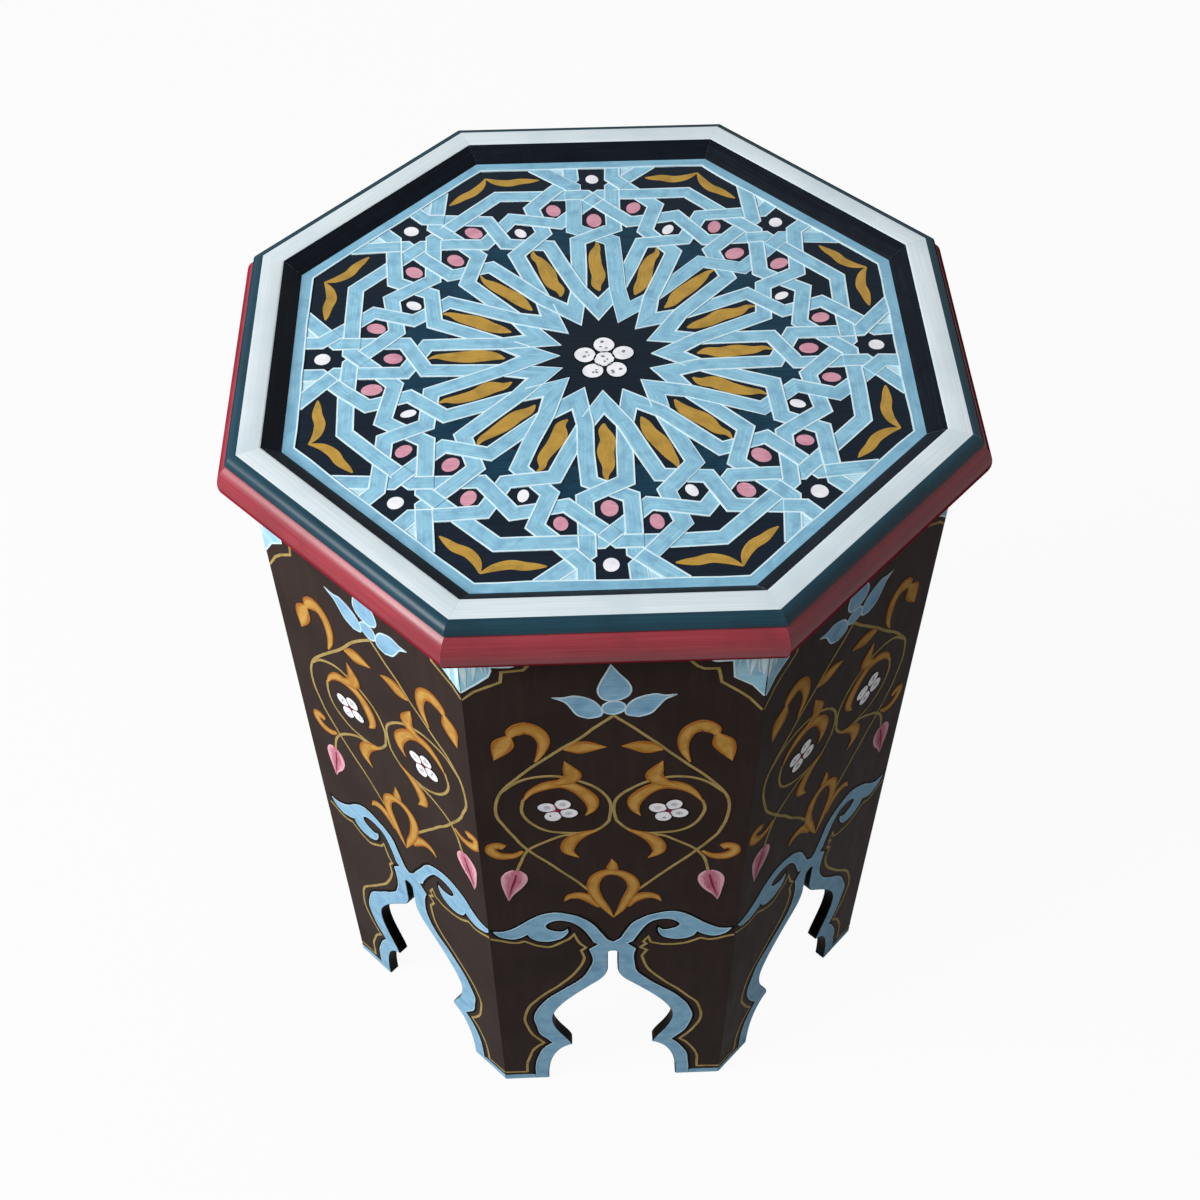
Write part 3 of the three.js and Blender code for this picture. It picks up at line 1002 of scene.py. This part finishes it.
paint_board_motifs(board_sheet)
board_place = Matrix.Translation((0, 0, BOARD_TOP * MM)) @ Matrix.Scale(MM, 4)
board_sheet.piece("board_paintwork", board_place)

# %% [markdown]
# ## Paint on the sides
# Every side carries the same picture, drawn freehand: a blue band round the arch that ends in two scrolls, a gold
# line that follows it, blue corner pieces under the rim, and a pair of vines with leaves, loops and flowers. One
# half is written down and mirrored. Each panel gets its own sway, so no two come out alike.

# %% The band round the arch, right half from the foot up. Heights in the picture count from 8 mm over the floor.
PICTURE_FOOT = 8
FLOOR_EDGE = 0.2 - PICTURE_FOOT
RIM_EDGE = RIM_BOTTOM - 0.2 - PICTURE_FOOT
SIDE_EDGE = PANEL_HALF - 0.1
BAND = [(50.9, FLOOR_EDGE), (50.7, 4), (50, 16.7), (48, 28), (43.8, 40), (38.6, 47.7)]
BAND_UPPER = [(38.6, 47.7), (42, 54), (46.7, 63.3), (49.2, 76.7), (49.6, 87), (46, 100), (40.2, 111.6)]
BAND_UPPER += [(31.6, 122.4), (22.4, 133.4), (16, 143), (12.8, 153), (12, 163), (12.6, 171), (13.8, 176.5)]
GOLD_LINE = [(56.8, 2.2), (56.6, 10), (55.9, 20), (52.6, 33.3), (48.9, 41.7), (44.1, 47.7)]
GOLD_UPPER = [(44.1, 47.7), (46.9, 52.5), (51.9, 63.3), (55.2, 76), (55.4, 87), (52.6, 100), (47.4, 110)]
GOLD_UPPER += [(40.4, 120.4), (32, 131.6), (24.6, 143), (19.4, 155), (17.2, 166)]
GOLD_STEP_LEFT = [(-17.2, 166), (-18.8, 175), (-16, 179), (-19.2, 184), (-20.4, 188), (-22.2, 195.6)]
GOLD_STEP_LEFT += [(-25, 190), (-29, 186)]
GOLD_STEP_RIGHT = [(17.2, 166), (20.6, 174), (16.8, 178), (20.2, 182), (18.2, 185), (20.6, 190.6)]
GOLD_STEP_RIGHT += [(22.6, 184), (29, 180.8)]
GOLD_WAVE = [(36, 180.6), (43, 182.4), (48, 186), (51.4, 188.2), (56, 186.6), (61, 187.2), (66, 189.4)]
GOLD_WAVE += [(71.3, 191.5)]
GOLD_FOOT = [(56.8, 2.2), (64, 2.5), (SIDE_EDGE, 2.2)]
FOOT_STRIP = [(51.6, FLOOR_EDGE), (SIDE_EDGE, FLOOR_EDGE), (SIDE_EDGE, -2.2), (61, -1.9), (51.6, -2.2)]
SCROLL = [
    [(13.8, 176.5), (8.2, 183.4)],
    [(8.2, 183.4), (11.8, 186.4)],
    [(11.8, 186.4), (13.4, 192), (15.7, 199), (18.9, 205.8), (23, 210.8), (28.9, 213), (33.9, 212.5), (38, 210)],
    [(38, 210), (39.7, 206.3), (38, 202.5), (33.9, 200), (29.7, 199.4), (26.7, 201.9)],
    [(26.7, 201.9), (26.7, 198.3), (29.7, 191.7), (35.5, 188.2), (41.4, 188.3), (46.4, 191.7), (48.9, 197)],
    [(48.9, 197), (52.6, 193.8), (58.2, 191.6), (63.4, 192.8), (66.6, 195.4), (68.8, 199.6)],
    [(68.8, 199.6), (65, 199.4), (60.4, 201), (54.2, 206), (46.4, 214.5), (38, 220.2), (29.7, 221.3), (20.5, 217.5)],
    [(20.5, 217.5), (13, 210), (8, 198.3), (4.5, 189.6), (0, 185.4)],
]
SAWN_EDGE = 0.6
painted_edge = joined([BAND, BAND_UPPER] + SCROLL)


def band_outline(sheet):
    """The blue shape round the arch with its two scrolls. Its outside is freehand; its inside follows the saw cut."""
    outer = [p for p in painted_edge if p.x > 0.01]
    cut = [Vector((p.x, p.y - PICTURE_FOOT)) for p in offset_line(arch_half(), -SAWN_EDGE) if p.x > 0.01]
    slot_top = Vector((0, ARCH_Z + SAWN_EDGE - PICTURE_FOOT))
    right = [sheet.by_hand(p) for p in outer]
    left = [sheet.by_hand((-p.x, p.y)) for p in reversed(outer)]
    middle = sheet.by_hand(SCROLL[-1][-1])
    return right + [middle] + left + [Vector((-p.x, p.y)) for p in cut] + [slot_top] + cut[::-1]


# %% Leaves and vines, left half of the panel, as x, y and half width
VINE = [
    [(0, 418), (-18, 397.5), (-36, 377), (-50, 360.5), (-57.5, 349), (-60.6, 337), (-60, 324), (-55.5, 309)],
    [(-55.5, 309), (-45.5, 291.5), (-32.5, 274), (-13.5, 247.5)],
    [(-57.5, 349), (-47, 359.8), (-33, 364), (-20, 361), (-10, 354.5), (-3, 345), (-0.8, 334), (-2, 322)],
    [(-2, 322), (-8, 313), (-18, 307), (-27.2, 305.6), (-36.8, 299.4), (-44.5, 292), (-49.6, 282), (-52.6, 269)],
    [(-11, 311.2), (-19, 308.6), (-28, 309), (-36, 312), (-43.5, 319.5), (-47.6, 331), (-46.4, 342)],
]
LEAVES = [
    [(-46.4, 341, 0.5), (-42, 349, 2), (-34, 355.3, 3.4), (-25, 356, 3.4), (-17, 351, 3.8), (-11.8, 342, 4.1)]
    + [(-11.4, 333, 2.5), (-14.5, 326.5, 0.1)],
    [(-33, 356, 0.6), (-24.5, 359, 3.6), (-20.4, 364.6, 4.7), (-22.2, 371.4, 3.1), (-24.4, 378, 0.1)],
    [(-8, 312.5, 0.7), (-16.5, 306.6, 2.9), (-22.6, 299, 4.2), (-24, 290.5, 3.4), (-18.5, 283, 0.1)],
    [(-48.3, 290, 0.9), (-53.6, 285.4, 2.3), (-60.6, 285, 3.3), (-65.2, 289.4, 3.2), (-64.8, 294.6, 3)]
    + [(-61.2, 296, 3.1), (-58.2, 294.4, 2.6)],
    [(-38.7, 377, 0.6), (-35.4, 386.5, 2.2), (-34.6, 396, 3.2), (-37.4, 404.6, 4), (-43.5, 408.4, 4.8)]
    + [(-49.2, 404.8, 3.8), (-51, 399.8, 0.8)],
    [(-51, 402, 0.8), (-54, 394.8, 5.4), (-56.4, 387.6, 4.6), (-59.6, 378.4, 0.1)],
    [(-24.5, 388, 0.5), (-18.5, 389.4, 4.6), (-12, 391, 4.4), (-3.6, 391.2, 0.1)],
    [(-7, 228.6, 2.6), (-12, 236.6, 3.6), (-18, 241, 3.5), (-24, 240, 2.4), (-27.4, 235, 0.1)],
    [(0, 215.5, 0.2), (-4.2, 226, 2.2), (-8.6, 238, 3.2), (-11, 250, 3.5), (-9.6, 260, 3.5)]
    + [(-5.2, 266, 3), (0.4, 267.6, 2.7)],
]
PALMETTE_BUD = [(0, 266, 1.6), (0, 271, 3.3), (0.3, 276, 2.4), (-0.6, 281.6, 0.1)]
HEART = [(-52.9, 268.8, 2.4), (-53.6, 265.6, 5.8), (-54.8, 259.5, 7.4), (-56.2, 251, 5.7), (-57.8, 243, 2.6)]
HEART += [(-58.8, 235.5, 0.1)]
HEART_VEIN = [(-53.4, 265, 0.4), (-55.6, 254, 0.7), (-58.2, 240, 0.1)]
FLOWER_MIDDLE, FLOWER_LEAN = (-29, 331.8), -0.4
BUD = [(-2, 458.6), (-4.4, 451.5), (-7, 444), (-8, 438), (-6.2, 433), (-3, 430.6), (0, 430)]
BUD_RIGHT = [(0, 430), (3.2, 430.8), (6.6, 433.4), (8, 438), (6.4, 444.5), (2.2, 452), (-2, 458.6)]
BUD_LEAF = [(-29, 433.4), (-24, 433), (-18.5, 434.2), (-10, 430.6), (-5.8, 424), (-6.4, 418.4), (-12, 416.2)]
BUD_LEAF_LOW = [(-12, 416.2), (-17.6, 419.2), (-21, 424.8), (-24, 429.8), (-29, 433.4)]

# %% Corner pieces under the rim, left corner. At every other edge of the octagon they hang lower.
CORNER_BLUE = [(-SIDE_EDGE, 440), (-64, 446.8), (-58.6, 452), (-57, 456.5), (-57, 460.4), (-48.5, 461), (-45, 463)]
CORNER_BLUE += [(-39, 469), (-37, RIM_EDGE)]
CORNER_GOLD = [(-SIDE_EDGE, 434.4), (-66, 440.4), (-53.4, 447.6), (-52.4, 455.4), (-42.2, 456.4), (-38.6, 461.4)]
CORNER_GOLD += [(-32, 467), (-27.5, RIM_EDGE)]
CORNER_STREAKS = [(-70.2, 443, 1.7), (-67.4, 451, 0.5), (-65, 448, 1.3), (-61.8, 452, 0.9), (-59.2, 456, 0.5)]
LOW_CORNER_BLUE = [(-SIDE_EDGE, 430), (-65, 439.4), (-55.7, 446.6), (-55.7, 458.8), (-47, 459.6), (-44, 462)]
LOW_CORNER_BLUE += [(-38, 468), (-36, RIM_EDGE)]
LOW_CORNER_GOLD = [(-SIDE_EDGE, 418.8), (-65, 429), (-59.3, 434.4), (-50, 442.6), (-49, 448.7), (-48.2, 453.4)]
LOW_CORNER_GOLD += [(-42.1, 453.7), (-38.6, 455.9), (-34.3, 460.9), (-30, 467), (-27, RIM_EDGE)]
LOW_CORNER_FACET = [(-SIDE_EDGE, RIM_EDGE), (-63.6, RIM_EDGE), (-64.4, 456), (-66, 452), (-SIDE_EDGE, 446)]
CORNER_STEP = [(-57.4, 460.4, 0.5), (-55, 460.2, 1.2), (-48, 460, 1.2), (-44.6, 461.6, 0.4)]
LINE_HALF, STEP_HALF, EDGE_HALF = 0.85, 0.8, 0.45
# How far each layer lies over the wood, from the first painted to the last
GAP_LIFT, VINE_LIFT, CORNER_LIFT, SHAPE_LIFT, BAND_LIFT, LEAF_LIFT = 0.08, 0.1, 0.12, 0.14, 0.16, 0.18
DRY_LIFT, EDGE_LIFT, BAND_EDGE_LIFT, VEIN_LIFT = 0.2, 0.24, 0.26, 0.28


def paint_arch(sheet):
    """The blue band, its edge, the dark gap and the gold line."""
    sheet.patch(band_outline(sheet), BAND_LIFT, scroll_enamel, swayed=False)
    for way in (1, -1):
        run = [sheet.by_hand(p) for p in mirrored(painted_edge, way)]
        sheet.band(run, way * -1.9, way * 0.2, GAP_LIFT, shade_enamel)
        sheet.band(run, way * -0.3, way * 0.4, BAND_EDGE_LIFT, scroll_edge_enamel)
        step = GOLD_STEP_RIGHT if way > 0 else GOLD_STEP_LEFT
        sheet.outline(step, STEP_HALF, SHAPE_LIFT, vine_enamel, closed=False)
        wave = mirrored(step[-1:], way) + GOLD_WAVE
        for stretch in (GOLD_LINE, GOLD_UPPER, wave, GOLD_FOOT):
            sheet.stroke(mirrored(stretch, way), SHAPE_LIFT, vine_enamel, LINE_HALF)
        sheet.patch(mirrored(FOOT_STRIP, way), CORNER_LIFT, scroll_enamel)


def paint_corners(sheet, side):
    """Blue in both upper corners, with dry streaks of pale paint, and a stepped gold line."""
    hand = random.Random(sheet.seed)
    for way in (1, -1):
        low = (way < 0) == (side % 2 == 0)
        edge = LOW_CORNER_BLUE if low else CORNER_BLUE
        gold = LOW_CORNER_GOLD if low else CORNER_GOLD
        sheet.patch(mirrored(edge + [(-SIDE_EDGE, RIM_EDGE)], way), CORNER_LIFT, corner_enamel)
        if low:
            sheet.patch(mirrored(LOW_CORNER_FACET, way), LEAF_LIFT, scroll_edge_enamel)
        sheet.outline(mirrored(edge, way), EDGE_HALF, EDGE_LIFT, pale_enamel, closed=False)
        sheet.outline(mirrored(gold, way), STEP_HALF, SHAPE_LIFT, vine_enamel, closed=False)
        for x, foot, half in CORNER_STREAKS:
            drift = hand.uniform(-1.4, 1.4)
            foot += hand.uniform(-4, 4)
            streak = [(x - drift, RIM_EDGE, half), (x, foot + 9, half * 0.8), (x + drift, foot, 0.15)]
            sheet.stroke(mirrored(streak, way), DRY_LIFT, pale_enamel)
        sheet.stroke(mirrored(CORNER_STEP, way), BAND_EDGE_LIFT, pale_enamel)


# %% Flowers, vines and the bud
PETAL_REACH, PETAL, PETAL_NARROW, CROSS_REACH = 6.4, 4.9, 0.94, 5.5


def paint_flower(sheet, middle):
    """Four white petals round a red cross, each with a small ring or a scribble in it."""
    hand = random.Random(round(middle.x) + sheet.seed)
    for k in range(4):
        angle = FLOWER_LEAN + math.tau * k / 4
        place = middle + polar(PETAL_REACH, angle)
        petal = ellipse(*place, PETAL, PETAL * PETAL_NARROW, angle)
        sheet.patch(petal, SHAPE_LIFT, white_enamel)
        sheet.outline(petal, 0.16, 0.22, shade_enamel)
        if hand.random() < 0.5:
            sheet.outline(ellipse(*place, 1.5, 1.3, steps=12), 0.14, 0.24, grey_enamel)
            sheet.patch(ellipse(*place, 0.4, 0.4, steps=8), 0.26, vein_enamel)
        else:
            for _ in range(2):
                spot = place + Vector((hand.uniform(-1.6, 1.6), hand.uniform(-1.6, 1.6)))
                sheet.patch(ellipse(*spot, 0.9, 0.4, hand.uniform(0, 3), steps=8), 0.24, grey_enamel)
    for angle in (FLOWER_LEAN + math.pi / 4, FLOWER_LEAN - math.pi / 4):
        reach = polar(CROSS_REACH, angle)
        line = [(*(middle - reach), 0.3), (*middle, 0.55), (*(middle + reach), 0.3)]
        sheet.stroke(line, 0.26, vein_enamel)


def paint_vines(sheet):
    for way in (1, -1):
        for stretch in VINE:
            sheet.stroke(mirrored(stretch, way), VINE_LIFT, vine_enamel, LINE_HALF)
        for leaf in LEAVES:
            sheet.stroke(mirrored(leaf, way), LEAF_LIFT, amber_enamel)
        sheet.stroke(mirrored(HEART, way), LEAF_LIFT, heart_enamel)
        sheet.stroke(mirrored(HEART_VEIN, way), VEIN_LIFT, vein_enamel)
        paint_flower(sheet, Vector(*mirrored([FLOWER_MIDDLE], way)))
    sheet.stroke(PALMETTE_BUD, DRY_LIFT, amber_enamel)


def paint_bud(sheet):
    """The blue bud with its two leaves and round base, each edged with a pale line."""
    leaf = joined([BUD_LEAF, BUD_LEAF_LOW])[:-1]
    shapes = [joined([BUD, BUD_RIGHT])[:-1], leaf, mirrored(leaf, -1), ellipse(0, 424.4, 5.6, 5.2)]
    for shape in shapes:
        sheet.patch(shape, SHAPE_LIFT, scroll_enamel)
        sheet.outline(shape, EDGE_HALF, EDGE_LIFT, bud_edge_enamel)


# %% Paint every side
SIDE_LOW, SIDE_HIGH = (-SIDE_EDGE, FLOOR_EDGE), (SIDE_EDGE, RIM_EDGE)
# The lean and the drift of the three pictures that the photograph shows; the others lean a little at random
SIDE_HABITS = {0: (0.06, (0, 0)), 1: (-0.03, (-1.5, 2)), 7: (-0.055, (5, 4.5))}
for side in range(SIDES):
    lean, drift = SIDE_HABITS.get(side, (random.Random(40 + side).uniform(-0.02, 0.03), (0, 0)))
    side_sheet = Paintwork(20 + side, 1.1, SIDE_LOW, SIDE_HIGH, lean)
    paint_corners(side_sheet, side)
    side_sheet.drift = Vector(drift)
    paint_vines(side_sheet)
    paint_bud(side_sheet)
    paint_arch(side_sheet)
    picture_place = on_side(side, FACE) @ Matrix.Translation((0, PICTURE_FOOT, 0))
    side_sheet.piece(f"panel_paintwork_{side + 1}", picture_place)

# %% [markdown]
# ## Floor and light
# The photograph was cut out on white and lit by a window at the left: the left side is as bright as the top, the
# front half as bright, the right side darker still. One big soft lamp at the left does this. To the camera the
# paper floor is mixed with plain white, which keeps its shadow but lets it join the white behind.

# %% Floor, lamp and world
WINDOW_PLACE, WINDOW_AIM = Vector((-1.65, -0.6, 1.7)), Vector((0, 0, 0.3))
WINDOW_SIZE, WINDOW_WATTS = 1.1, 66
FLOOR_SIZE, PAPER_WHITE, FILL_LIGHT = 6, 0.95, 0.2


def seen_directly(tree):
    """One where a ray comes from the camera, a mirror or glass; those rays see the plain background."""
    path = add_node(tree, "ShaderNodeLightPath", {}).outputs
    either = maths(tree, "MAXIMUM", path["Is Camera Ray"], path["Is Glossy Ray"])
    return maths(tree, "MAXIMUM", either, path["Is Transmission Ray"])


def pale_floor():
    mesh = bmesh.new()
    bmesh.ops.create_grid(mesh, x_segments=1, y_segments=1, size=FLOOR_SIZE)
    material, tree, shader = new_material("pale_studio_paper")
    fill(shader, {"Base Color": linear("#b0b0ae"), "Roughness": 0.9})
    white = add_node(tree, "ShaderNodeEmission", {"Color": (1, 1, 1, 1), "Strength": 1.0})
    share = maths(tree, "MULTIPLY", seen_directly(tree), PAPER_WHITE)
    paper = add_node(tree, "ShaderNodeMixShader", {0: share, 1: shader.outputs[0], 2: white.outputs[0]})
    fill(tree.nodes["Material Output"], {"Surface": paper.outputs[0]})
    made_of(mesh, "pale_floor", [material])


def window_light():
    data = bpy.data.lights.new("window_light", "AREA")
    data.shape = "DISK"
    data.size = WINDOW_SIZE
    data.energy = WINDOW_WATTS
    lamp = linked("window_light", data)
    lamp.location = WINDOW_PLACE
    lamp.rotation_euler = (WINDOW_AIM - WINDOW_PLACE).to_track_quat("-Z", "Y").to_euler()


def studio_world():
    world = bpy.data.worlds.new("studio_world")
    bpy.context.scene.world = world
    world.use_nodes = True
    tree = world.node_tree
    backdrop = add_node(tree, "ShaderNodeBackground", {"Color": (1, 1, 1, 1), "Strength": 1.0})
    dim = add_node(tree, "ShaderNodeBackground", {"Color": (1, 1, 1, 1), "Strength": FILL_LIGHT})
    seen = add_node(tree, "ShaderNodeMixShader", {0: seen_directly(tree), 1: dim.outputs[0], 2: backdrop.outputs[0]})
    fill(tree.nodes["World Output"], {"Surface": seen.outputs[0]})


pale_floor()
window_light()
studio_world()
bpy.context.scene.view_settings.view_transform = "Standard"
